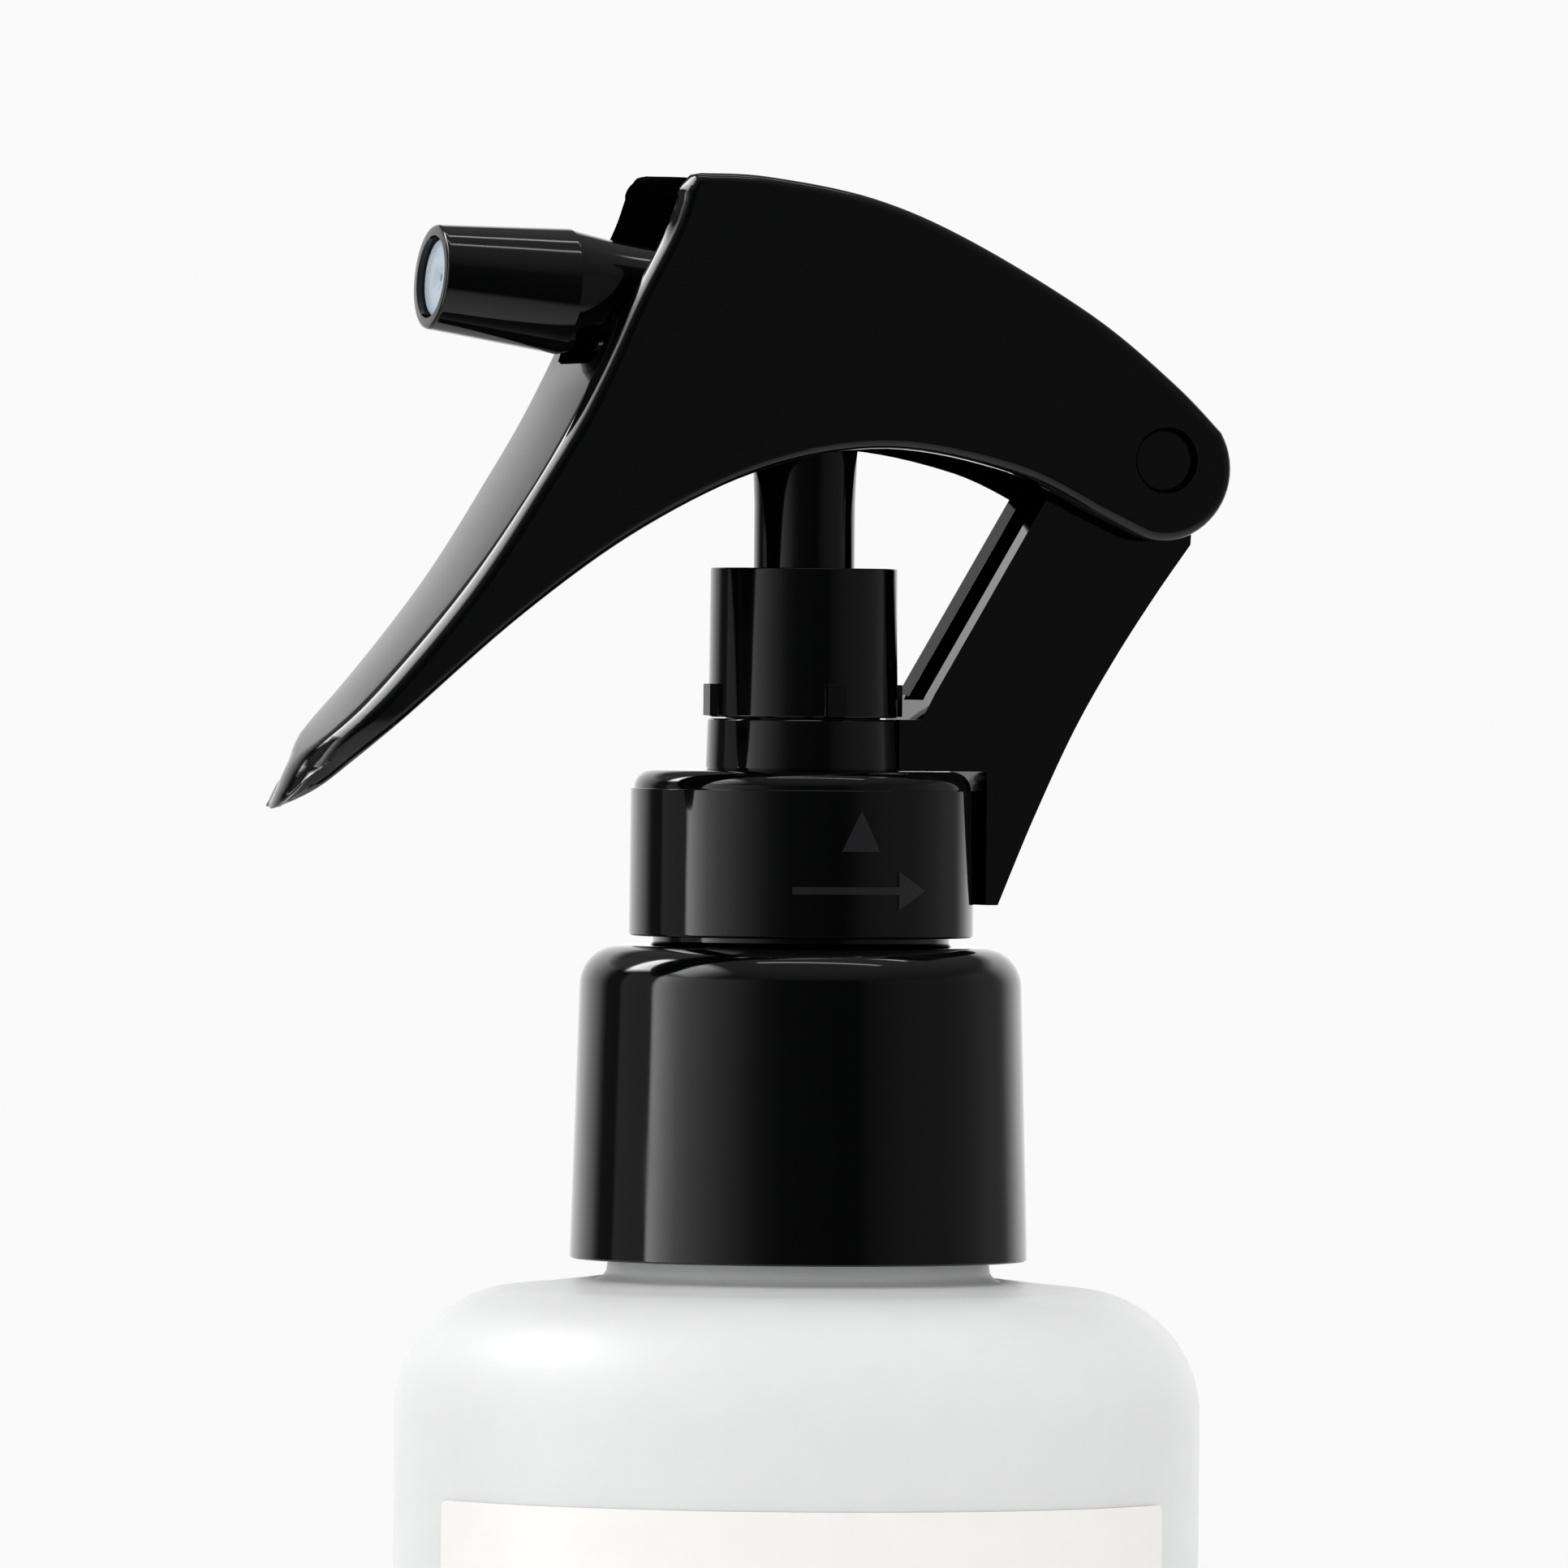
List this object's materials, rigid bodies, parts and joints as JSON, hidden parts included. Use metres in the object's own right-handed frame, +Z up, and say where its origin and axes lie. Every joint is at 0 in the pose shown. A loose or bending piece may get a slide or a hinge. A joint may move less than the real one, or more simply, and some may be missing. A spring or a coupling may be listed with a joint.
{
  "type": "trigger spray bottle",
  "caption": "Refillable trigger spray bottle: frosted round bottle with a blank label, smooth black adapter cap, screw collar and a small trigger pump with a rear hinge.",
  "frame": {"origin": "on the bottle's axis, at the flat base it stands on", "axes": "+Z up along the bottle, -X the way the nozzle sprays, Y across the trigger along its hinge"},
  "size_m": [0.0796, 0.0656, 0.2095],
  "materials": {
    "frosted_plastic": "frosted, translucent",
    "label_film": "satin",
    "foam_liner": "soft foam",
    "black_plastic": "high gloss",
    "natural_plastic": "natural, milky",
    "white_plastic": "satin",
    "spring_steel": "bright drawn wire"
  },
  "bodies": {
    "bottle": {"bottle": "frosted_plastic", "front_label": "label_film"},
    "adapter_liner": {"adapter_gasket": "foam_liner"},
    "adapter": {"adapter_cap": "black_plastic"},
    "pump": {"pump_body": "black_plastic", "column_sleeve": "black_plastic", "pump_housing": "natural_plastic", "neck_gasket": "foam_liner", "stem_seal": "natural_plastic", "dip_tube": "natural_plastic", "return_spring": "spring_steel"},
    "collar": {"screw_collar": "black_plastic"},
    "trigger": {"trigger": "black_plastic"},
    "actuator": {"actuator": "black_plastic", "piston_stem": "natural_plastic", "piston": "white_plastic", "swirl_core": "white_plastic", "nozzle_insert": "white_plastic"},
    "inlet_ball": {"inlet_ball": "spring_steel"},
    "outlet_ball": {"outlet_ball": "spring_steel"}
  },
  "joints": [
    {"name": "adapter_lift", "type": "slide", "parent": "bottle", "child": "adapter_liner", "axis": [0, 0, 1], "range_m": [0, 0.00635]},
    {"name": "adapter_turn", "type": "hinge", "parent": "adapter_liner", "child": "adapter", "pos_m": [0, 0, 0.13], "axis": [0, 0, 1], "range_deg": [0, 540]},
    {"name": "pump_lift", "type": "slide", "parent": "adapter", "child": "pump", "axis": [0, 0, 1], "range_m": [0, 0.00476]},
    {"name": "collar_turn", "type": "hinge", "parent": "pump", "child": "collar", "pos_m": [0, 0, 0.155], "axis": [0, 0, 1], "range_deg": [0, 540]},
    {"name": "trigger_pull", "type": "hinge", "parent": "pump", "child": "trigger", "pos_m": [0.02848, 0, 0.18682], "axis": [0, -1, 0], "range_deg": [0, 12], "stiffness_Nm_per_rad": 1, "springref_deg": -11.46},
    {"name": "pump_stroke", "type": "slide", "parent": "pump", "child": "actuator", "axis": [0, 0, -1], "range_m": [0, 0.006], "deforming": ["return_spring"]},
    {"name": "inlet_valve", "type": "slide", "parent": "pump", "child": "inlet_ball", "axis": [0, 0, 1], "range_m": [0, 0.0012]},
    {"name": "outlet_valve", "type": "slide", "parent": "actuator", "child": "outlet_ball", "axis": [0, 0, 1], "range_m": [0, 0.0015]}
  ],
  "couplings": [
    {"joint": "adapter_turn", "follows": "adapter_lift", "rad_per_m": 1484.2},
    {"joint": "collar_turn", "follows": "pump_lift", "rad_per_m": 1979},
    {"joint": "pump_stroke", "follows": "trigger_pull", "m_per_rad": 0.0285}
  ]
}
